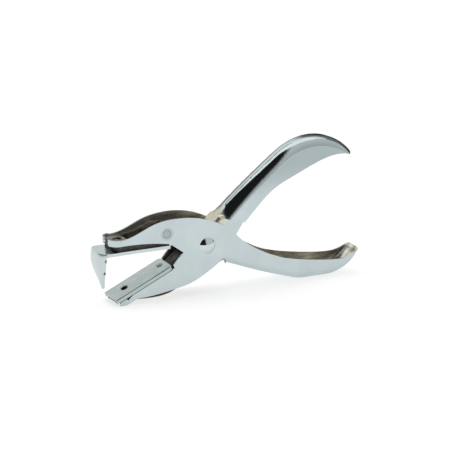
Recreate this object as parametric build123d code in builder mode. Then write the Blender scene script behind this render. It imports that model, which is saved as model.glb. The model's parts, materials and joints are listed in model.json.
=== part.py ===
# Plier-type hand punch of pressed, plated sheet steel.
#
# The frame is one folded sheet: lower handle, body, upper arm and the walls of the lower jaw.
# The lever is one inverted channel: upper handle, throat web and the bed of the anvil plate.
# They turn on one rivet. Squeezing the handles swings the anvil up to the claw plate.
#
# Side outlines are drawn in millimetres from the pivot: x towards the handles, z up.
# The origin of the model is the bottom centre of the whole object, which stands on z = 0.

import os
from math import acos, atan2, cos, hypot, radians, sin, sqrt

from build123d import *

os.makedirs("parts", exist_ok=True)

# ---- driving dimensions ----
PIVOT_X = -13.8            # pivot rivet, from the bottom centre of the object
PIVOT_Z = 25.0             # pivot rivet above the surface that the object stands on
SHEET = 1.0                # pressed sheet thickness
FRAME_HALF = 7.5           # half the outer width of the frame
LEVER_HALF = 6.2           # half the outer width of the lever between the frame plates
HANDLE_HALF = 7.5          # half the outer width of the upper handle
HANDLE_SHOULDER = 7.0      # rounding of the upper handle's long edges
FOLD_RADIUS = 3.0          # rounding of the lower handle's long edges

JAW_SLOPE = 24.8           # how far the open anvil slopes below the claw plate, degrees
ANVIL_TOP = 1.15           # anvil face above the line through the pivot
ANVIL_THICK = 1.2
ANVIL_LIP = 2.0            # depth of the anvil's turned-down long edges
ANVIL_FRONT = 54.2         # distance of the anvil's front edge from the pivot
ANVIL_REAR = 20.7
DIE_AT = 45.9              # distance of the die from the pivot
RIVET_AT = 24.7            # distance of the anvil rivet from the pivot
ANVIL_CORNER = 2.0         # rounding of the anvil plate's rear corners

CLAW_UNDER = 1.3           # underside of the claw plate above the pivot
CLAW_THICK = 1.7
CLAW_HALF = 8.0

PUNCH_RADIUS = 1.6
DIE_BORE = 1.8
DIE_COLLAR = 2.4            # the die bush, where it fills the hole in the anvil plate
DIE_RADIUS = 3.2           # the die bush, below the anvil plate
DIE_FLANGE = 4.0
BUSH_RADIUS = 2.7
BUSH_BORE = 2.0
RUNNING_GAP = 0.05         # radial clearance of the lever on its bush
RIVET_HEAD_RADIUS = 4.2
RIVET_HEAD_HEIGHT = 1.7
WIRE = 1.0                 # spring wire diameter
COIL_RADIUS = 3.4          # mean radius of the spring coil

# ---- side outlines, from the pivot ----
FRAME_TOP = [(-47.5, 8.5), (-39.9, 9.9), (-29.6, 14.1), (-17.2, 16.1), (-4.1, 14.7),
             (7.0, 10.4), (13.7, 5.8), (20.4, -0.5), (27.7, -5.5), (37.0, -10.2), (50.4, -13.9),
             (67.1, -16.5), (73.7, -17.0), (79.5, -16.4), (86.1, -13.2)]
HANDLE_END = [(86.1, -13.2), (84.4, -16.6), (79.9, -21.0), (73.1, -24.1), (65.5, -PIVOT_Z)]
HANDLE_UNDER = [(55.0, -PIVOT_Z), (47.0, -23.5), (30.4, -18.1), (10.3, -10.4)]
END_TANGENTS = [(-0.2, -1.0), (-1.0, 0.0)]
UNDER_TANGENTS = [(-1.0, 0.0), (-20.1, 7.8)]
BODY_UNDER = [(7.3, -9.1), (-3.0, -15.5), (-9.7, -18.4), (-17.6, -20.1), (-28.3, -21.7), (-37.9, -22.2)]
JAW_FOOT = [(-44.3, -PIVOT_Z), (-47.6, -PIVOT_Z)]
THROAT = [(-18.5, -8.0), (-13.1, -1.75), (-18.2, 2.0), (-20.5, 3.6)]
ARM_UNDER = [(-20.5, 3.6), (-28.6, 4.9), (-39.0, 5.7), (-47.5, 5.7)]

NECK_TOP = (7.4, 13.6)               # where the upper handle's back begins
HANDLE_BACK = [NECK_TOP, (21.9, 26.1), (35.5, 36.7), (46.9, 44.5), (58.9, 48.05), (70.8, 46.3),
               (77.9, 42.5), (81.9, 38.9)]
HANDLE_GRIP = [(81.0, 36.5), (76.4, 38.0), (63.7, 36.4), (50.4, 31.0), (37.0, 24.6), (27.7, 16.4),
               (20.8, 9.3)]
NECK_LINE = [(20.8, 9.3), (14.0, 10.9), NECK_TOP]
NECK_UNDER = [(12.5, 14.8), (22.4, 12.0), (17.0, 3.7)]
LEVER_UNDER = [(17.0, 3.7), (12.0, -3.0), (5.0, -8.0), (-5.0, -13.5), (-17.5, -20.9)]
BELLY = [(-17.5, -20.9), (-23.6, -22.5), (-29.1, -23.0), (-36.0, -22.8), (-44.0, -23.4)]
LEVER_NOSE = (-48.6, -23.9)
TRAY_FLOOR = [(-46.5, -23.5), (-36.0, -23.4), (-29.1, -23.7), (-23.6, -23.3), (-19.1, -22.2),
              (-15.2, -19.4)]
TRAY_RIM = [(-15.2, -19.4), (-14.6, -17.0), (-17.0, -15.5), (-46.5, -22.9), (-46.5, -23.5)]


def side(y=0.0):
    """A side-view plane through the pivot at width y: local x is X, local y is Z."""
    return Plane(origin=(PIVOT_X, y, PIVOT_Z), x_dir=(1, 0, 0), z_dir=(0, -1, 0))


def jaw(along, above):
    """A point on the open jaw: `along` from the pivot towards the nose, `above` the pivot line."""
    a = radians(JAW_SLOPE)
    return (-along * cos(a) - above * sin(a), -along * sin(a) + above * cos(a))


def jaw_plane(along, above):
    """A plane lying on the open jaw, its normal away from the pivot line."""
    x, z = jaw(along, above)
    a = radians(JAW_SLOPE)
    return Plane(
        origin=(PIVOT_X + x, 0, PIVOT_Z + z), x_dir=(cos(a), 0, sin(a)), z_dir=(-sin(a), 0, cos(a))
    )


def highest(edges, half, count=2):
    """The highest edges lying in the side faces at y = +half and y = -half."""
    on_sides = [e for e in edges if abs(abs(e.center().Y) - half) < 0.01]
    return ShapeList(on_sides).sort_by(Axis.Z)[-count:]


def lowest(edges, half, count=2):
    """The lowest edges lying in the side faces at y = +half and y = -half."""
    on_sides = [e for e in edges if abs(abs(e.center().Y) - half) < 0.01]
    return ShapeList(on_sides).sort_by(Axis.Z)[:count]


def inset(points, amount):
    """The points of a clockwise outline moved inwards, square to the line between their neighbours."""
    moved = []
    for i, (x, z) in enumerate(points):
        before = points[max(i - 1, 0)]
        after = points[min(i + 1, len(points) - 1)]
        run, rise = after[0] - before[0], after[1] - before[1]
        size = hypot(run, rise)
        moved.append((x + amount * rise / size, z - amount * run / size))
    return moved


def save(piece, name):
    piece.part.label = name
    export_step(piece.part, f"parts/{name}.step")


# ---- frame: one folded sheet ----
WALL_TOP = ANVIL_TOP - ANVIL_LIP - 0.3       # the jaw walls end just under the anvil's lips
HANDLE_START = 10.3                          # x where the lower handle's web begins
INSIDE_HALF = FRAME_HALF - SHEET
RELIEF_AT = (8.8, -9.6)                      # round relief where the web's fold begins
RELIEF_RADIUS = 1.2
CROSS_PIN_AT = (-22.2, 9.0)
CROSS_PIN_RADIUS = 2.0
TIP_HEIGHT = FRAME_TOP[0][1] - ARM_UNDER[-1][1] + 0.4
wall_front = jaw(52.6, WALL_TOP)
wall_rear = jaw(ANVIL_REAR - 0.5, WALL_TOP)
notch_front = jaw(49.2, WALL_TOP)
notch_rear = jaw(45.6, WALL_TOP)

# the hollow of the lower handle, rounded along its floor and open above
inner_end = inset(HANDLE_END, SHEET)
inner_under = inset(HANDLE_UNDER, SHEET)
inner_end[-1] = (HANDLE_END[-1][0], HANDLE_END[-1][1] + SHEET)
inner_under[0] = (HANDLE_UNDER[0][0], HANDLE_UNDER[0][1] + SHEET)
with BuildPart() as trough_space:
    with BuildSketch(side()):
        with BuildLine():
            Polyline(inner_under[-1], (inner_under[-1][0], 20.0), (inner_end[0][0], 20.0), inner_end[0])
            Spline(*inner_end, tangents=END_TANGENTS)
            Line(inner_end[-1], inner_under[0])
            Spline(*inner_under, tangents=UNDER_TANGENTS)
        make_face()
    extrude(amount=FRAME_HALF - SHEET, both=True)
    fillet(lowest(trough_space.edges(), FRAME_HALF - SHEET, 8), FOLD_RADIUS - SHEET)

with BuildSketch(side()) as frame_outline:
    with BuildLine():
        Spline(*FRAME_TOP)
        Spline(*HANDLE_END, tangents=END_TANGENTS)
        Line(HANDLE_END[-1], HANDLE_UNDER[0])
        Spline(*HANDLE_UNDER, tangents=UNDER_TANGENTS)
        Line(HANDLE_UNDER[-1], BODY_UNDER[0])
        Spline(*BODY_UNDER)
        Polyline(BODY_UNDER[-1], *JAW_FOOT, wall_front, notch_front, (-43.4, -22.4), notch_rear)
        Polyline(notch_rear, wall_rear, *THROAT)
        Spline(*ARM_UNDER)
        Line(ARM_UNDER[-1], FRAME_TOP[0])
    make_face()

# the lower handle before hollowing, with its long edges rounded by the fold
with BuildPart() as handle_block:
    extrude(frame_outline.sketch, amount=FRAME_HALF, both=True)
    with BuildSketch(side()):
        with Locations((HANDLE_START + 50.0, 0)):
            Rectangle(100.0, 100.0)
    extrude(amount=FRAME_HALF, both=True, mode=Mode.INTERSECT)
    fillet(lowest(handle_block.edges(), FRAME_HALF, 6), FOLD_RADIUS)

with BuildPart() as frame_shell:
    extrude(frame_outline.sketch, amount=FRAME_HALF, both=True)
    with BuildSketch(side()):
        with Locations((HANDLE_START + 50.0, 0)):
            Rectangle(100.0, 100.0)
    extrude(amount=FRAME_HALF, both=True, mode=Mode.SUBTRACT)
    add(handle_block.part)
    add(trough_space.part, mode=Mode.SUBTRACT)
    with BuildSketch(side()):
        with Locations((HANDLE_START + SHEET - 50.0, 0)):
            Rectangle(100.0, 100.0)
    extrude(amount=INSIDE_HALF, both=True, mode=Mode.SUBTRACT)
    with BuildSketch(side()):
        Circle(BUSH_BORE)
        with Locations(CROSS_PIN_AT):
            Circle(CROSS_PIN_RADIUS)
        with Locations(RELIEF_AT):
            Circle(RELIEF_RADIUS)
    extrude(amount=FRAME_HALF, both=True, mode=Mode.SUBTRACT)
    # the arms' tips are bent in towards each other round the nose
    with BuildSketch(Plane(origin=(PIVOT_X, 0, PIVOT_Z + ARM_UNDER[-1][1]))):
        with BuildLine():
            Line((-47.5, -INSIDE_HALF), (-47.5, -FRAME_HALF))
            ThreePointArc((-47.5, -FRAME_HALF), (-50.9, -6.0), (-52.0, -2.6))
            Line((-52.0, -2.6), (-51.0, -2.4))
            ThreePointArc((-51.0, -2.4), (-50.1, -5.3), (-47.5, -INSIDE_HALF))
        make_face()
        mirror(about=Plane.XZ)
    extrude(amount=TIP_HEIGHT)
save(frame_shell, "frame_shell")

# ---- claw plate: the upper jaw's flat plate, ending in a curved claw ----
PUNCH_X = -DIE_AT
CLAW_TOP = CLAW_UNDER + CLAW_THICK
CLAW_SECTIONS = [                            # height, half width, front, flank
    (CLAW_TOP, 8.3, -57.8, -54.9),
    (-0.6, 8.2, -58.5, -55.2),
    (-8.4, 5.1, -57.2, -54.5),
    (-16.9, 0.8, -54.3, -53.3),
]
CLAW_SHEET = 1.2


def claw_section(height, half, front, flank):
    """One level of the claw: a shallow scoop, flat at the front with its flanks turned back."""
    plane = Plane(origin=(PIVOT_X, 0, PIVOT_Z + height))
    thick = min(CLAW_SHEET, 0.8 * (flank - front))
    corner = 0.72 * half
    with BuildSketch(plane) as section:
        with BuildLine():
            Spline((flank, -half), (front + 0.25 * (flank - front), -corner), (front, 0),
                   (front + 0.25 * (flank - front), corner), (flank, half))
            Line((flank, half), (flank + 0.3, half - 0.5 * thick))
            Spline(
                (flank + 0.3, half - 0.5 * thick),
                (front + thick + 0.2 * (flank - front), 0.85 * corner),
                (front + thick, 0),
                (front + thick + 0.2 * (flank - front), -0.85 * corner),
                (flank + 0.3, -half + 0.5 * thick),
            )
            Line((flank + 0.3, -half + 0.5 * thick), (flank, -half))
        make_face()
    return section.sketch


with BuildPart() as claw_plate:
    for level in CLAW_SECTIONS:
        add(claw_section(*level))
    loft()
    # the flat head, rounded into the claw at the front
    with BuildSketch(Plane(origin=(PIVOT_X, 0, PIVOT_Z + CLAW_UNDER))):
        with BuildLine():
            Polyline((-47.0, -CLAW_HALF), (-20.5, -CLAW_HALF), (-20.5, CLAW_HALF), (-47.0, CLAW_HALF))
            Polyline((-47.0, CLAW_HALF), (-49.0, 8.3), (-54.75, 8.3))
            Spline((-54.75, 8.3), (-56.4, 6.0), (-57.1, 0), (-56.4, -6.0), (-54.75, -8.3))
            Polyline((-54.75, -8.3), (-49.0, -8.3), (-47.0, -CLAW_HALF))
        make_face()
        with Locations((PUNCH_X, 0)):
            Circle(PUNCH_RADIUS + 0.02, mode=Mode.SUBTRACT)
    extrude(amount=CLAW_THICK)
save(claw_plate, "claw_plate")

# ---- claw bracket: a channel that carries the claw plate between the arm plates ----
BRACKET_FLANGE = [(-41.4, CLAW_TOP), (-41.4, 7.6), (-34.0, 9.0), (-25.5, 12.2), (-20.2, 12.2),
                  (-18.8, 10.5), (-18.8, 7.0), (-20.3, CLAW_TOP)]
with BuildPart() as claw_bracket:
    with BuildSketch(side()):
        Polygon(*BRACKET_FLANGE, align=None)
        with Locations(CROSS_PIN_AT):
            Circle(CROSS_PIN_RADIUS, mode=Mode.SUBTRACT)
    extrude(amount=INSIDE_HALF, both=True)
    with BuildSketch(side()):
        with Locations((-31.0, CLAW_TOP + SHEET + 10.0)):
            Rectangle(40.0, 20.0)
    extrude(amount=INSIDE_HALF - SHEET, both=True, mode=Mode.SUBTRACT)
save(claw_bracket, "claw_bracket")

with BuildPart() as claw_cross_pin:
    with BuildSketch(side()):
        with Locations(CROSS_PIN_AT):
            Circle(CROSS_PIN_RADIUS)
    extrude(amount=FRAME_HALF, both=True)
    chamfer(claw_cross_pin.edges().filter_by(GeomType.CIRCLE), 0.15)
save(claw_cross_pin, "claw_cross_pin")

# ---- punch holder: a block closing the nose, with the punch pressed through it ----
HOLDER_TOP = 7.8
HOLDER_REAR = -41.4
HOLDER_FRONT = -50.9
PIN_HEAD_UNDER = 6.2
with BuildPart() as punch_holder:
    with BuildSketch(Plane(origin=(PIVOT_X, 0, PIVOT_Z + CLAW_TOP))):
        with BuildLine():
            Polyline((-47.5, -INSIDE_HALF), (HOLDER_REAR, -INSIDE_HALF), (HOLDER_REAR, INSIDE_HALF),
                     (-47.5, INSIDE_HALF))
            ThreePointArc((-47.5, INSIDE_HALF), (-50.1, 5.2), (HOLDER_FRONT, 2.4))
            Line((HOLDER_FRONT, 2.4), (HOLDER_FRONT, -2.4))
            ThreePointArc((HOLDER_FRONT, -2.4), (-50.1, -5.2), (-47.5, -INSIDE_HALF))
        make_face()
        with Locations((PUNCH_X, 0)):
            Circle(PUNCH_RADIUS, mode=Mode.SUBTRACT)
    extrude(amount=HOLDER_TOP - CLAW_TOP)
    chamfer(punch_holder.faces().sort_by(Axis.Z)[-1].outer_wire().edges(), 0.5)
    with BuildSketch(Plane(origin=(PIVOT_X, 0, PIVOT_Z + PIN_HEAD_UNDER))):
        with Locations((PUNCH_X, 0)):
            Circle(PUNCH_RADIUS + 0.7)
    extrude(amount=HOLDER_TOP - PIN_HEAD_UNDER, mode=Mode.SUBTRACT)
save(punch_holder, "punch_holder")

PUNCH_TIP = 0.4
with BuildPart() as punch_pin:
    with BuildSketch(Plane(origin=(PIVOT_X + PUNCH_X, 0, PIVOT_Z + PUNCH_TIP))):
        Circle(PUNCH_RADIUS)
    extrude(amount=PIN_HEAD_UNDER - PUNCH_TIP)
    with BuildSketch(Plane(origin=(PIVOT_X + PUNCH_X, 0, PIVOT_Z + PIN_HEAD_UNDER))):
        Circle(PUNCH_RADIUS + 0.6)
    extrude(amount=1.0)
    # the cutting face is scooped, so that it shears the paper from two sides
    with BuildSketch(side()):
        with Locations((PUNCH_X, PUNCH_TIP - 3.2)):
            Circle(3.6)
    extrude(amount=PUNCH_RADIUS + 1.0, both=True, mode=Mode.SUBTRACT)
save(punch_pin, "punch_pin")

# ---- pivot: a headed rivet through a bush that the lever turns on ----
PIVOT_AXIS = Axis((PIVOT_X, 0, PIVOT_Z), (0, 1, 0))
dome = (RIVET_HEAD_RADIUS ** 2 + RIVET_HEAD_HEIGHT ** 2) / (2 * RIVET_HEAD_HEIGHT)
dome_half = RIVET_HEAD_RADIUS / 2
dome_rise = (dome ** 2 - dome_half ** 2) ** 0.5 - (dome - RIVET_HEAD_HEIGHT)
with BuildPart() as pivot_rivet:
    with BuildSketch(Plane(origin=(PIVOT_X, 0, PIVOT_Z))):
        with BuildLine():
            Line((0, -FRAME_HALF - RIVET_HEAD_HEIGHT), (0, FRAME_HALF + RIVET_HEAD_HEIGHT))
            ThreePointArc((0, FRAME_HALF + RIVET_HEAD_HEIGHT), (dome_half, FRAME_HALF + dome_rise),
                          (RIVET_HEAD_RADIUS, FRAME_HALF))
            Polyline((RIVET_HEAD_RADIUS, FRAME_HALF), (BUSH_BORE, FRAME_HALF), (BUSH_BORE, -FRAME_HALF),
                     (RIVET_HEAD_RADIUS, -FRAME_HALF))
            ThreePointArc((RIVET_HEAD_RADIUS, -FRAME_HALF), (dome_half, -FRAME_HALF - dome_rise),
                          (0, -FRAME_HALF - RIVET_HEAD_HEIGHT))
        make_face()
    revolve(axis=PIVOT_AXIS)
save(pivot_rivet, "pivot_rivet")

with BuildPart() as pivot_bush:
    with BuildSketch(side()):
        Circle(BUSH_RADIUS)
        Circle(BUSH_BORE, mode=Mode.SUBTRACT)
    extrude(amount=INSIDE_HALF, both=True)
save(pivot_bush, "pivot_bush")


# ---- return spring: a coil on the bush, one leg in each handle ----
def touching_angle(target, turn):
    """Where a line from the target touches the coil's circle, on the side given by turn."""
    away = atan2(target[1], target[0])
    return away + turn * acos(COIL_RADIUS / hypot(*target))


def spring_part(target, turn, y, turns):
    """A straight leg and the turns of wire that it runs into, swept in one."""
    angle = touching_angle(target, turn)
    start = Plane(
        origin=(PIVOT_X, y, PIVOT_Z), x_dir=(cos(angle), 0, sin(angle)), z_dir=(0, -turn, 0)
    )
    coil = start * Helix(pitch=WIRE * 1.12, height=WIRE * 1.12 * turns, radius=COIL_RADIUS)
    reach = sqrt(target[0] ** 2 + target[1] ** 2 - COIL_RADIUS ** 2)
    leg = Edge.make_line(coil @ 0 - (coil % 0) * reach, coil @ 0)
    with BuildPart() as wire:
        with BuildSketch(Plane(origin=leg @ 0, z_dir=leg % 0)):
            Circle(WIRE / 2)
        sweep(path=Wire([leg, coil.edge()]))
    return wire


spring_coil = spring_part(target=(24.0, -13.9), turn=-1, y=-3.0, turns=4.0)
save(spring_coil, "spring_coil")
spring_lever_leg = spring_part(target=(22.4, 20.5), turn=1, y=3.8, turns=1.0)
save(spring_lever_leg, "spring_lever_leg")

# ---- lever: one inverted channel, narrow between the frame plates and full width as a handle ----
BED = ANVIL_TOP - ANVIL_THICK                # the anvil plate lies on the lever's web
SHANK_RADIUS = 1.5                           # shank of the rivet that holds the anvil plate
NARROW_SHOULDER = 2.5                        # rounding of the narrow channel's long edges
END_ROUND = 5.0                              # rounding of the handle's end, seen from above
NECK_INSIDE = (9.3, 13.9)                    # where the handle's hollow begins
HANDLE_MOUTH = [(88.0, 31.6), (88.0, -5.0), (22.0, 2.0)]   # the open side of that hollow
bed_front = jaw(54.0, BED)
throat_bend = jaw(20.0, BED)
web_line = [bed_front, throat_bend, NECK_TOP, NECK_UNDER[0]]
web_middles = [((p[0] + q[0]) / 2, (p[1] + q[1]) / 2) for p, q in zip(web_line, web_line[1:])]


def on_web(edge):
    """Whether an edge is one of the two long edges of a stretch of the lever's web."""
    at = edge.center()
    if abs(abs(at.Y) - LEVER_HALF) > 0.01:
        return False
    return any(hypot(at.X - PIVOT_X - x, at.Z - PIVOT_Z - z) < 0.05 for x, z in web_middles)


with BuildPart() as narrow_channel:
    with BuildSketch(side()):
        with BuildLine():
            Polyline(*web_line, *NECK_UNDER[1:])
            Spline(*LEVER_UNDER)
            Spline(*BELLY)
            Polyline(BELLY[-1], LEVER_NOSE, bed_front)
        make_face()
    extrude(amount=LEVER_HALF, both=True)
    fillet([e for e in narrow_channel.edges() if on_web(e)], NARROW_SHOULDER)

with BuildPart() as handle_space:
    with BuildSketch(side()):
        with BuildLine():
            Spline(NECK_INSIDE, *inset(HANDLE_BACK, SHEET)[1:], HANDLE_MOUTH[0])
            Polyline(*HANDLE_MOUTH, (21.3, 10.2), (14.3, 11.9), NECK_INSIDE)
        make_face()
    extrude(amount=HANDLE_HALF - SHEET, both=True)
    fillet(highest(handle_space.edges(), HANDLE_HALF - SHEET), HANDLE_SHOULDER - SHEET)

inner_line = inset(web_line, SHEET)
with BuildPart() as narrow_space:
    with BuildSketch(side()):
        with BuildLine():
            Polyline(
                jaw(62.0, BED - SHEET), *inner_line[1:], (27.0, 9.0), (27.0, -30.0), (-62.0, -34.0),
                close=True,
            )
        make_face()
    extrude(amount=LEVER_HALF - SHEET, both=True)

with BuildPart() as lever_shell:
    with BuildSketch(side()):
        with BuildLine():
            Spline(*HANDLE_BACK)
            Line(HANDLE_BACK[-1], HANDLE_GRIP[0])
            Spline(*HANDLE_GRIP)
            Polyline(*NECK_LINE)
        make_face()
    extrude(amount=HANDLE_HALF, both=True)
    fillet(highest(lever_shell.edges(), HANDLE_HALF), HANDLE_SHOULDER)
    # seen from above, the handle's end is round
    with BuildSketch(Plane.XY.offset(PIVOT_Z)):
        with Locations((PIVOT_X + HANDLE_BACK[-1][0] - 60.0, 0)):
            RectangleRounded(120.0, 2 * HANDLE_HALF, END_ROUND)
    extrude(amount=60.0, mode=Mode.INTERSECT)
    add(narrow_channel.part)
    add(handle_space.part, mode=Mode.SUBTRACT)
    add(narrow_space.part, mode=Mode.SUBTRACT)
    with BuildSketch(side()):
        Circle(BUSH_RADIUS + RUNNING_GAP)
    extrude(amount=LEVER_HALF, both=True, mode=Mode.SUBTRACT)
    with BuildSketch(jaw_plane(DIE_AT, BED)):
        Circle(DIE_RADIUS)
    extrude(amount=-2 * SHEET, mode=Mode.SUBTRACT)
    with BuildSketch(jaw_plane(RIVET_AT, BED)):
        Circle(SHANK_RADIUS)
    extrude(amount=-2 * SHEET, mode=Mode.SUBTRACT)
save(lever_shell, "lever_shell")

# ---- anvil plate: a flat plate with turned-down long edges, riveted on the lever ----
ANVIL_RIVET_HEAD = 2.2
ANVIL_EDGE = 0.5                             # rounding where the lips turn down
with BuildPart() as anvil_plate:
    with BuildSketch(jaw_plane((ANVIL_FRONT + ANVIL_REAR) / 2, ANVIL_TOP - ANVIL_LIP)) as outline:
        Rectangle(ANVIL_FRONT - ANVIL_REAR, 2 * FRAME_HALF)
        fillet(outline.vertices().group_by(Axis.X)[-1], ANVIL_CORNER)
    extrude(amount=ANVIL_LIP)
    top = anvil_plate.faces().sort_by(Axis(origin=(0, 0, 0), direction=jaw_plane(0, 0).z_dir))[-1]
    fillet(top.edges().sort_by(Axis.X)[1:], ANVIL_EDGE)
    with BuildSketch(jaw_plane((ANVIL_FRONT + ANVIL_REAR) / 2, ANVIL_TOP - ANVIL_LIP)):
        Rectangle(ANVIL_FRONT - ANVIL_REAR, 2 * INSIDE_HALF)
    extrude(amount=ANVIL_LIP - ANVIL_THICK, mode=Mode.SUBTRACT)
    with BuildSketch(jaw_plane(DIE_AT, ANVIL_TOP)):
        Circle(DIE_COLLAR)
    extrude(amount=-ANVIL_THICK, mode=Mode.SUBTRACT)
    with BuildSketch(jaw_plane(RIVET_AT, ANVIL_TOP)):
        Circle(ANVIL_RIVET_HEAD)
    extrude(amount=-ANVIL_THICK, mode=Mode.SUBTRACT)
save(anvil_plate, "anvil_plate")

FLANGE_THICK = 0.8
COLLAR_SUNK = 0.15                           # the die lies just below the anvil's face
with BuildPart() as die_bush:
    with BuildSketch(jaw_plane(DIE_AT, ANVIL_TOP - COLLAR_SUNK)):
        Circle(DIE_COLLAR)
        Circle(DIE_BORE, mode=Mode.SUBTRACT)
    extrude(amount=COLLAR_SUNK - ANVIL_THICK)
    with BuildSketch(jaw_plane(DIE_AT, BED)):
        Circle(DIE_RADIUS)
        Circle(DIE_BORE, mode=Mode.SUBTRACT)
    extrude(amount=-SHEET)
    with BuildSketch(jaw_plane(DIE_AT, BED - SHEET)):
        Circle(DIE_FLANGE)
        Circle(DIE_BORE, mode=Mode.SUBTRACT)
    extrude(amount=-FLANGE_THICK)
save(die_bush, "die_bush")

HEAD_SUNK = 0.1                              # the rivet's head lies just below the anvil's face
CLENCH_RADIUS = 2.6
CLENCH_THICK = 0.9
DIMPLE_DEPTH = 0.7
with BuildPart() as anvil_rivet:
    with BuildSketch(jaw_plane(RIVET_AT, ANVIL_TOP - HEAD_SUNK)):
        Circle(ANVIL_RIVET_HEAD)
    extrude(amount=HEAD_SUNK - ANVIL_THICK)
    with BuildSketch(jaw_plane(RIVET_AT, BED)):
        Circle(SHANK_RADIUS)
    extrude(amount=-SHEET)
    with BuildSketch(jaw_plane(RIVET_AT, BED - SHEET)):
        Circle(CLENCH_RADIUS)
    extrude(amount=-CLENCH_THICK)
    with BuildSketch(jaw_plane(RIVET_AT, ANVIL_TOP - HEAD_SUNK)):
        Circle(SHANK_RADIUS)
    extrude(amount=-DIMPLE_DEPTH, taper=20, mode=Mode.SUBTRACT)
save(anvil_rivet, "anvil_rivet")

# ---- chip tray: an open pan under the die, between the lever's flanges ----
TRAY_WALL = 0.6
TRAY_INSIDE = [(-36.0, -22.8), (-29.1, -23.1), (-23.6, -22.7), (-19.4, -21.7), (-15.9, -19.2)]
TRAY_HALF = LEVER_HALF - SHEET
with BuildPart() as chip_tray:
    with BuildSketch(side()):
        with BuildLine():
            Spline(*TRAY_FLOOR)
            Polyline(*TRAY_RIM)
        make_face()
    extrude(amount=TRAY_HALF, both=True)
    with BuildSketch(side()):
        with BuildLine():
            Line((-50.0, -22.9), TRAY_INSIDE[0])
            Spline(*TRAY_INSIDE)
            Polyline(TRAY_INSIDE[-1], (-15.3, -16.9), (-15.3, -10.0), (-50.0, -10.0), (-50.0, -22.9))
        make_face()
    extrude(amount=TRAY_HALF - TRAY_WALL, both=True, mode=Mode.SUBTRACT)
save(chip_tray, "chip_tray")
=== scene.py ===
# A plier-type hand punch of bright plated sheet steel, on a plain pale floor in soft studio light.

import json
import math

import bpy
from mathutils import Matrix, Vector


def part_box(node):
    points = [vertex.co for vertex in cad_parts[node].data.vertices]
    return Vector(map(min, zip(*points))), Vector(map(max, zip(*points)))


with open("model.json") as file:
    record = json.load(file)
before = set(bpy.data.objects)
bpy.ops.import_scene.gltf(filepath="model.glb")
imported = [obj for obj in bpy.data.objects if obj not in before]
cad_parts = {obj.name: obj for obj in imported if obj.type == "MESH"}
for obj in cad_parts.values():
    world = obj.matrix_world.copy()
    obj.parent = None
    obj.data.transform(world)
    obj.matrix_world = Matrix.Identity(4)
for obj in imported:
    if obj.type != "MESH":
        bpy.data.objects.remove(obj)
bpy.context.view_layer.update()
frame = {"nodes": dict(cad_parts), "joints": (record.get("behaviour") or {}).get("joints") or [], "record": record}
pivot = Vector(next(j["pos_m"] for j in frame["joints"] if j["name"] == "squeeze"))

# ---- driving values: lengths in metres, and the places on the object are in the side view ----
MM = 0.001
SHEET = 1.0 * MM
JAW_SLOPE = math.radians(24.8)          # how far the open anvil slopes
HANDLE_SLOPE = math.radians(42.0)       # how far the open upper handle slopes
PLATE_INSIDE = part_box("frame_shell")[1].y - SHEET + 0.02 * MM      # just past a side plate's inner face
LEVER_OUTSIDE = 6.25 * MM               # just past the flat sides that the lever has between the plates
NOSE_START = pivot.x - 46.4 * MM        # the arms' rounded nose is left of this
NECK_START = pivot.x + 2.5 * MM         # the lever lies between the plates left of this

# a place, and the distances from it at which its tint or mark starts to fade and is gone
NECK = (pivot + Vector((6.5, 0.0, 13.0)) * MM, 3.0 * MM, 6.5 * MM)
CROSS_PIN = (pivot + Vector((-22.0, 0.0, 8.9)) * MM, 1.5 * MM, 4.3 * MM)
# a dark spot of painted shade at the relief
RELIEF_SHADE = (pivot + Vector((8.8, 0.0, -9.6)) * MM, 0.84 * MM, 2.1 * MM)
# two dark specks of painted shade at the claw fang's edge, standing in for its shadowed thickness
CLAW_EDGE_SHADE = [
    (pivot + Vector(at) * MM, 0.52 * MM, 1.3 * MM) for at in ((-55.0, 0.0, -0.6), (-54.6, 0.0, -7.6))
]


# ---- node trees ----
class Tree:
    """A node tree, with the few calls that this script needs."""

    def __init__(self, tree):
        self.tree = tree

    def add(self, kind, **values):
        node = self.tree.nodes.new(kind)
        for key, value in values.items():
            setattr(node, key, value)
        return node

    def put(self, value, socket):
        """Links another node's socket, or sets a plain value."""
        if isinstance(value, bpy.types.NodeSocket):
            self.tree.links.new(value, socket)
        else:
            socket.default_value = value

    def math(self, operation, first, second=0.0):
        node = self.add("ShaderNodeMath", operation=operation)
        self.put(first, node.inputs[0])
        self.put(second, node.inputs[1])
        return node.outputs["Value"]

    def all_of(self, *factors):
        product = factors[0]
        for factor in factors[1:]:
            product = self.math("MULTIPLY", product, factor)
        return product

    def below(self, value, limit):
        return self.math("LESS_THAN", value, limit)

    def above(self, value, limit):
        return self.math("GREATER_THAN", value, limit)

    def axes(self, vector):
        node = self.add("ShaderNodeSeparateXYZ")
        self.put(vector, node.inputs["Vector"])
        return node.outputs["X"], node.outputs["Y"], node.outputs["Z"]

    def between(self, factor, low, high, start, end, smooth=False):
        """A number that runs from low to high as the factor runs from start to end."""
        node = self.add("ShaderNodeMapRange")
        if smooth:
            node.interpolation_type = "SMOOTHSTEP"
        for socket, value in (
            ("Value", factor), ("From Min", start), ("From Max", end), ("To Min", low), ("To Max", high),
        ):
            self.put(value, node.inputs[socket])
        return node.outputs["Result"]

    def mix(self, factor, first, second):
        """A number between two numbers."""
        node = self.add("ShaderNodeMix", data_type="FLOAT")
        self.put(factor, node.inputs[0])
        self.put(first, node.inputs[2])
        self.put(second, node.inputs[3])
        return node.outputs[0]

    def blend(self, factor, first, second):
        """A colour between two colours."""
        node = self.add("ShaderNodeMix", data_type="RGBA")
        self.put(factor, node.inputs[0])
        for value, socket in ((first, node.inputs[6]), (second, node.inputs[7])):
            self.put((*value, 1.0) if isinstance(value, tuple) else value, socket)
        return node.outputs[2]


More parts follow.
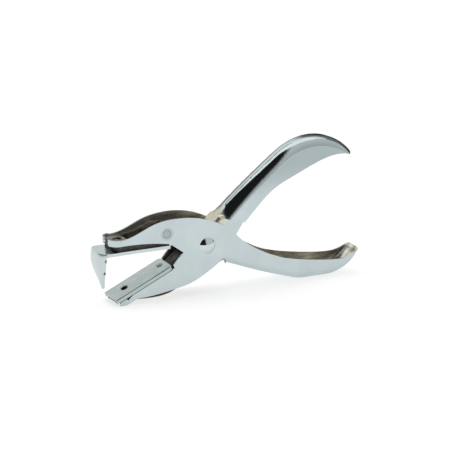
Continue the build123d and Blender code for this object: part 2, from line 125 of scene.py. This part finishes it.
class Paint(Tree):
    """A material's node tree. Object coordinates are in metres, so noise scales are per metre."""

    def __init__(self, name, metallic=1.0):
        self.material = bpy.data.materials.new(name)
        self.material.use_nodes = True
        super().__init__(self.material.node_tree)
        self.shader = self.tree.nodes["Principled BSDF"]
        self.shader.inputs["Metallic"].default_value = metallic
        coordinates = self.add("ShaderNodeTexCoord")
        self.place = coordinates.outputs["Object"]
        self.normal = coordinates.outputs["Normal"]

    def stretched(self, x, y, z, turn=0.0):
        """Object coordinates scaled per axis, after a turn about Y that lines X up with the grain."""
        turned = self.add("ShaderNodeVectorRotate", rotation_type="Y_AXIS")
        self.put(turn, turned.inputs["Angle"])
        self.put(self.place, turned.inputs["Vector"])
        scaled = self.add("ShaderNodeVectorMath", operation="MULTIPLY")
        self.put(turned.outputs["Vector"], scaled.inputs[0])
        self.put((x, y, z), scaled.inputs[1])
        return scaled.outputs["Vector"]

    def noise(self, vector, scale, detail=4.0, roughness=0.5):
        node = self.add("ShaderNodeTexNoise")
        for socket, value in (
            ("Vector", vector), ("Scale", scale), ("Detail", detail), ("Roughness", roughness),
        ):
            self.put(value, node.inputs[socket])
        return node.outputs["Fac"]

    def patches(self, noise):
        """Soft patches from 0 to 1, out of a noise, which keeps near its middle."""
        return self.between(noise, 0.0, 1.0, start=0.35, end=0.65)

    def near(self, point, inner, outer):
        """1 within the inner distance of a point in the side view, falling to 0 at the outer one."""
        x, _, z = self.axes(self.place)
        across = self.math("POWER", self.math("SUBTRACT", x, point.x), 2.0)
        upward = self.math("POWER", self.math("SUBTRACT", z, point.z), 2.0)
        distance = self.math("SQRT", self.math("ADD", across, upward))
        return self.between(distance, 1.0, 0.0, inner, outer, smooth=True)

    def outward(self):
        """The distance from the middle plane on a side's outer face, and less than 0 on its inner face."""
        _, y, _ = self.axes(self.place)
        _, across, _ = self.axes(self.normal)
        return self.math("MULTIPLY", y, across)

    def bump(self, height, distance, under=None):
        node = self.add("ShaderNodeBump")
        self.put(height, node.inputs["Height"])
        self.put(distance, node.inputs["Distance"])
        if under is not None:
            self.put(under, node.inputs["Normal"])
        return node.outputs["Normal"]

    def done(self, colour, roughness, normal):
        self.put(colour, self.shader.inputs["Base Color"])
        self.put(roughness, self.shader.inputs["Roughness"])
        self.put(normal, self.shader.inputs["Normal"])
        return self.material


# ---- materials: each pair of colours is the two that its clouds or patches run between ----
CHROME = ((0.50, 0.57, 0.585), (0.54, 0.61, 0.62))
# dull bare steel on the frame's inside faces, whose dark brown and pale cream patches are painted shade and
# painted highlights between the arms
BARE_INSIDE_SHADE_AND_HIGHLIGHTS = ((0.30, 0.28, 0.24), (0.94, 0.91, 0.80))
# near black: the painted shade of the fang's edge, the relief and the lever's insides
PAINTED_SHADE_BLACK = (0.018, 0.018, 0.017)
# near black for the lever's faces between the plates and in the handle's hollow: painted shade
THROAT_PAINTED_SHADE = (PAINTED_SHADE_BLACK, (0.045, 0.044, 0.04))
INSIDE_ROUGH = (0.42, 0.28)             # how rough the inside faces are, for their two colours
NECK_PAINTED_HIGHLIGHT = (0.66, 0.65, 0.52)              # a pale cream patch on the lever's neck: a painted highlight
NECK_HIGHLIGHT_ROUGH = 0.4
GRIP_PAINTED_SHADE = (0.375, 0.435, 0.45)          # painted shade on the sides of the upper handle, darker towards its top
# a darker grey round spot on the plates round the cross pin, with its roughness and strength
PIN_SPOT = (0.30, 0.345, 0.36)
PIN_SPOT_ROUGH = 0.24
PIN_SPOT_STRENGTH = 0.75
DARK_STEEL_PAINTED_HIGHLIGHT = (0.34, 0.32, 0.27)        # painted highlight: paler brown streaks on the dark steel's upper and inward faces
PAINTED_HIGHLIGHT_METALLIC = 0.1


def plated(
    name, colours=CHROME, smooth=0.06, cloudy=0.11, ripple=0.2 * MM, inside=None, painted_inside=BARE_INSIDE_SHADE_AND_HIGHLIGHTS,
    tint=None, shade_marks=(), relief=None,
):
    """Bright plate with a faint cloudiness, hairlines and a slow ripple, and dull where it is inside, where its
    colours are painted shade, and on the frame painted highlights too.
    """
    p = Paint(name)
    cloud = p.noise(p.place, scale=90.0, detail=3.0)
    hair = p.noise(p.stretched(60.0, 700.0, 900.0, turn=0.35), scale=1.0, detail=3.0, roughness=0.65)
    pores = p.noise(p.place, scale=2600.0, detail=2.0)
    colour = p.blend(p.patches(cloud), *colours)
    roughness = p.between(cloud, smooth, cloudy, start=0.3, end=0.7)
    # a darker grey round spot round the cross pin
    pin_spot = p.math("MULTIPLY", p.near(*CROSS_PIN), PIN_SPOT_STRENGTH)
    colour = p.blend(pin_spot, colour, PIN_SPOT)
    roughness = p.mix(pin_spot, roughness, PIN_SPOT_ROUGH)
    # each mark darkens the plate to near black round a point: painted shade
    for shade_mark in shade_marks:
        colour = p.blend(p.near(*shade_mark), colour, PAINTED_SHADE_BLACK)
    if tint is not None:
        colour, roughness = tint(p, colour, roughness)
    if inside is not None:
        # patches between the two inside colours: painted shade, and on the frame painted highlights too
        inside_patches = p.patches(p.noise(p.stretched(70.0, 260.0, 260.0), scale=1.0, roughness=0.6))
        inside_mask = inside(p)
        colour = p.blend(inside_mask, colour, p.blend(inside_patches, *painted_inside))
        roughness = p.mix(inside_mask, roughness, p.mix(inside_patches, *INSIDE_ROUGH))
    normal = p.bump(p.noise(p.place, scale=45.0, detail=1.0), ripple)
    if relief is not None:
        normal = p.bump(relief(p), MM, under=normal)
    normal = p.bump(hair, 0.005 * MM, under=normal)
    return p.done(colour, roughness, p.bump(pores, 0.001 * MM, under=normal))


def neck_highlight_and_grip_shade(p, colour, roughness):
    """A painted highlight on the drawn neck, and painted shade on the sides of the handle above it, darker towards
    the top.
    """
    neck_highlight = p.near(*NECK)
    _, _, height = p.axes(p.place)
    _, across, _ = p.axes(p.normal)
    sideways = p.between(p.math("ABSOLUTE", across), 0.0, 1.0, start=0.7, end=0.95)
    lifted = p.between(height, 0.0, 1.0, start=42.0 * MM, end=62.0 * MM, smooth=True)
    # painted highlight: a pale cream patch on the neck
    colour = p.blend(neck_highlight, colour, NECK_PAINTED_HIGHLIGHT)
    # painted shade: the handle's sides darker towards its top
    colour = p.blend(p.math("MULTIPLY", sideways, lifted), colour, GRIP_PAINTED_SHADE)
    return colour, p.mix(neck_highlight, roughness, NECK_HIGHLIGHT_ROUGH)


def drawn_handle(p):
    """The drawn handle's back: round at the neck and flatter at the hump, on sides that draw in, in mm.

    The run is measured up the handle's slope and the rise square to it, both from the frame's origin.
    """
    neck_end, middle, hump, tip, shoulder = 20.0, 70.0, 78.0, 98.0, 27.0
    ridge_half, ridge_at_neck, ridge_at_hump = 5.0, 1.0, -0.5
    draw_at_neck, draw_at_middle, draw_left_at_tip = 0.03, 0.48, 0.25
    run, across, rise = p.axes(p.stretched(1.0 / MM, 1.0 / MM, 1.0 / MM, turn=HANDLE_SLOPE))
    ridge = p.all_of(
        p.between(p.math("ABSOLUTE", across), 1.0, 0.0, start=0.0, end=ridge_half, smooth=True),
        p.between(run, 0.0, 1.0, start=neck_end + 3.0, end=neck_end + 9.0, smooth=True),
        p.between(run, ridge_at_neck, ridge_at_hump, start=neck_end, end=hump),
    )
    draw = p.all_of(
        p.between(run, draw_at_neck, draw_at_middle, start=neck_end, end=middle),
        p.between(run, 1.0, draw_left_at_tip, start=middle - 6.0, end=tip, smooth=True),
        p.math("SUBTRACT", rise, shoulder),
    )
    return p.math("ADD", ridge, draw)


def sagging_head(p):
    """The flat head of the claw dips a little towards its front edge, in mm."""
    dip = 0.17
    x, _, _ = p.axes(p.place)
    return p.math("MULTIPLY", x, dip / MM)


def inside_frame(p):
    """The faces between the side plates and in the lower handle's trough, but no end or underside."""
    x, y, _ = p.axes(p.place)
    along, _, up = p.axes(p.normal)
    between_plates = p.below(p.math("ABSOLUTE", y), PLATE_INSIDE)
    no_end = p.below(along, 0.3)
    no_underside = p.above(up, -0.2)
    return p.all_of(between_plates, p.above(x, NOSE_START), no_end, no_underside)


def inside_lever(p):
    """The part that swings between the side plates, and the hollow of the upper handle."""
    x, y, _ = p.axes(p.place)
    _, _, up = p.axes(p.normal)
    beside = p.math("ABSOLUTE", y)
    narrow = p.all_of(p.below(beside, LEVER_OUTSIDE), p.below(x, NECK_START))
    not_upward = p.below(up, 0.02)
    not_outward = p.below(p.outward(), 2.0 * MM)
    hollow = p.all_of(p.below(beside, PLATE_INSIDE), not_upward, not_outward)
    return p.math("MAXIMUM", narrow, hollow)


def satin(name, colours, rough, turn):
    """Satin metal with a grain along its length and a slightly uneven tone."""
    p = Paint(name)
    cloud = p.noise(p.place, scale=160.0)
    lines = p.noise(p.stretched(120.0, 2600.0, 2600.0, turn), scale=1.0, detail=3.0, roughness=0.7)
    speck = p.noise(p.place, scale=3500.0, detail=2.0)
    colour = p.blend(p.patches(cloud), *colours)
    roughness = p.between(lines, rough - 0.07, rough + 0.07, start=0.3, end=0.7)
    grain = p.bump(lines, 0.02 * MM)
    return p.done(colour, roughness, p.bump(speck, 0.01 * MM, under=grain))


def blackened(name, colours, rough, painted_highlight=None):
    """Blackened or oiled steel, mottled and pitted, and perhaps with painted highlights: paler, less metallic
    streaks on its upper and inward faces.
    """
    metallic = 0.9
    p = Paint(name, metallic)
    mottle = p.noise(p.place, scale=420.0, detail=5.0, roughness=0.6)
    pits = p.noise(p.place, scale=2400.0, detail=3.0)
    colour = p.blend(p.patches(mottle), *colours)
    if painted_highlight is not None:
        streaks = p.noise(p.stretched(160.0, 500.0, 500.0), scale=1.0, roughness=0.6)
        _, _, up = p.axes(p.normal)
        inward = p.below(p.outward(), -2.0 * MM)
        upper_and_inward_faces = p.math("MAXIMUM", p.above(up, 0.3), inward)
        # painted highlights: paler, less metallic streaks on the upper and inward faces
        highlight_mask = p.math("MULTIPLY", upper_and_inward_faces, p.between(streaks, 0.0, 1.0, start=0.3, end=0.6))
        colour = p.blend(highlight_mask, colour, painted_highlight)
        p.put(p.mix(highlight_mask, metallic, PAINTED_HIGHLIGHT_METALLIC), p.shader.inputs["Metallic"])
    roughness = p.between(mottle, rough - 0.1, rough + 0.1, start=0.3, end=0.7)
    return p.done(colour, roughness, p.bump(pits, 0.03 * MM))


MATERIALS = {
    # the claw's two dark specks at its fang's edge are painted shade
    "claw_steel": plated(
        "claw_steel", ((0.54, 0.60, 0.605), (0.58, 0.64, 0.645)), smooth=0.16, cloudy=0.24,
        shade_marks=CLAW_EDGE_SHADE, relief=sagging_head,
    ),
    "rivet_steel": plated(
        "rivet_steel", ((0.56, 0.63, 0.64), (0.60, 0.67, 0.68)), smooth=0.04, cloudy=0.08, ripple=0.0,
    ),
    "anvil_steel": satin(
        "anvil_steel", ((0.42, 0.485, 0.475), (0.475, 0.54, 0.53)), rough=0.30, turn=-JAW_SLOPE,
    ),
    # the paler brown streaks on its upper and inward faces are painted highlights
    "dark_steel": blackened(
        "dark_steel", ((0.03, 0.03, 0.03), (0.09, 0.085, 0.08)), rough=0.35, painted_highlight=DARK_STEEL_PAINTED_HIGHLIGHT,
    ),
    "tool_steel": satin("tool_steel", ((0.38, 0.39, 0.39), (0.48, 0.49, 0.49)), rough=0.25, turn=0.0),
    "spring_steel": blackened("spring_steel", ((0.16, 0.16, 0.17), (0.26, 0.26, 0.27)), rough=0.3),
    # satin grain, with a dim olive tone that is painted shade and painted reflection on the belly under the lower
    # jaw
    "tray_steel": satin("tray_steel", ((0.36, 0.37, 0.29), (0.45, 0.46, 0.38)), rough=0.36, turn=0.1),
}
SHELLS = {
    # the frame's inside faces get painted shade and painted highlights, and the relief a spot of painted shade
    "frame_shell": plated("plated_frame", inside=inside_frame, shade_marks=[RELIEF_SHADE]),
    # the lever is near black inside as painted shade, with a painted highlight on its neck and painted shade on
    # its handle's sides
    "lever_shell": plated(
        "plated_lever", inside=inside_lever, painted_inside=THROAT_PAINTED_SHADE, tint=neck_highlight_and_grip_shade, relief=drawn_handle,
    ),
}
for part in frame["record"]["subparts"]:
    node = frame["nodes"][part["node"]]
    node.data.materials.clear()
    node.data.materials.append(SHELLS.get(part["node"]) or MATERIALS[part["material_slot"]])


# ---- floor ----
def make_floor():
    """A round white table top, lit through from below, so that it stays pale round the object."""
    radius, sides, white, glow = 0.8, 96, 0.6, 0.66
    mesh = bpy.data.meshes.new("floor")
    turns = [2.0 * math.pi * i / sides for i in range(sides)]
    rim = [(radius * math.cos(turn), radius * math.sin(turn), 0.0) for turn in turns]
    mesh.from_pydata(rim, [], [tuple(range(sides))])
    floor = bpy.data.objects.new("floor", mesh)
    bpy.context.scene.collection.objects.link(floor)
    pale = Paint("pale_floor", metallic=0.0)
    for socket, value in (
        ("Base Color", (white, white, white, 1.0)), ("Roughness", 0.95), ("Specular IOR Level", 0.0),
        ("Emission Color", (1.0, 1.0, 1.0, 1.0)), ("Emission Strength", glow),
    ):
        pale.put(value, pale.shader.inputs[socket])
    mesh.materials.append(pale.material)


# ---- light: brightness by direction, where x points right, y away from the near side and z up ----
STUDIO = [                              # the wall behind and the softbox above: height, brightness
    (-1.0, 0.10), (0.06, 0.12), (0.20, 0.42), (0.31, 0.74), (0.55, 1.05), (0.73, 1.05),
    (0.77, 1.3), (1.0, 1.3),
]
BRIGHTEST = 1.3
SOFTBOX_LOW = 0.77
SEAM_LOW, SEAM_SHADE = 0.70, 0.07       # the dark seam under the softbox, which ends on the right
SHADED_TOP, SHADED = 0.6, 0.25          # the wall's right-hand part is shaded up to a height
CLOTH, FRONT_WALL = 0.015, 0.74         # dark cloth front left, and the wall front right
WALL_EDGE, EDGE_WIDTH = -0.12, 0.14     # where the wall behind takes over from them, by y


def make_world():
    """A bright wall behind, a softbox above, and dark cloth on the camera's left; seen as white."""
    world = bpy.data.worlds.new("studio")
    world.use_nodes = True
    bpy.context.scene.world = world
    t = Tree(world.node_tree)
    background = t.tree.nodes["Background"]
    x, y, z = t.axes(t.add("ShaderNodeTexCoord").outputs["Generated"])
    ramp = t.add("ShaderNodeValToRGB")
    while len(ramp.color_ramp.elements) < len(STUDIO):
        ramp.color_ramp.elements.new(0.5)
    for element, (level, bright) in zip(ramp.color_ramp.elements, STUDIO):
        element.position = 0.5 + 0.5 * level
        element.color = (bright / BRIGHTEST, bright / BRIGHTEST, bright / BRIGHTEST, 1.0)
    t.put(t.between(z, 0.0, 1.0, start=-1.0, end=1.0), ramp.inputs["Fac"])
    right = t.between(x, 0.0, 1.0, start=0.33, end=0.44, smooth=True)
    shaded = t.math("MULTIPLY", right, t.below(z, SHADED_TOP))
    seam = t.all_of(
        t.above(z, SEAM_LOW), t.below(z, SOFTBOX_LOW),
        t.between(x, 1.0, 0.0, start=0.1, end=0.3, smooth=True),
    )
    behind = t.all_of(
        t.math("MULTIPLY", ramp.outputs["Color"], BRIGHTEST), t.mix(shaded, 1.0, SHADED),
        t.mix(seam, 1.0, SEAM_SHADE),
    )
    front = t.between(x, CLOTH, FRONT_WALL, start=-0.16, end=0.2, smooth=True)
    softbox_edge = t.between(x, -0.02, -0.28, start=-0.45, end=0.2, smooth=True)
    edge = t.mix(t.above(z, SOFTBOX_LOW), WALL_EDGE, softbox_edge)
    turned = t.between(t.math("SUBTRACT", y, edge), 0.0, 1.0, start=0.0, end=EDGE_WIDTH, smooth=True)
    eye = t.add("ShaderNodeLightPath").outputs["Is Camera Ray"]
    t.put((1.0, 1.0, 1.0, 1.0), background.inputs["Color"])
    t.put(t.mix(eye, t.mix(turned, front, behind), 1.0), background.inputs["Strength"])


# ---- camera ----
def make_camera():
    """A long lens, so that parallel lines stay nearly parallel."""
    lens, sensor, shown = 300.0, 36.0, 227.5 * MM
    azimuth, elevation = math.radians(-26.0), math.radians(17.0)
    aim = pivot + Vector((14.8, 0.0, 5.4)) * MM
    back = Vector((
        math.sin(azimuth) * math.cos(elevation),
        -math.cos(azimuth) * math.cos(elevation),
        math.sin(elevation),
    ))
    data = bpy.data.cameras.new("camera")
    data.lens = lens
    data.sensor_width = sensor
    data.clip_start = 0.05
    data.clip_end = 50.0
    camera = bpy.data.objects.new("camera", data)
    camera.location = aim + back * (shown * lens / sensor)
    camera.rotation_mode = "QUATERNION"
    camera.rotation_quaternion = (-back).to_track_quat("-Z", "Y")
    bpy.context.scene.collection.objects.link(camera)
    bpy.context.scene.camera = camera


make_floor()
make_world()
make_camera()
bpy.context.scene.view_settings.view_transform = "Standard"
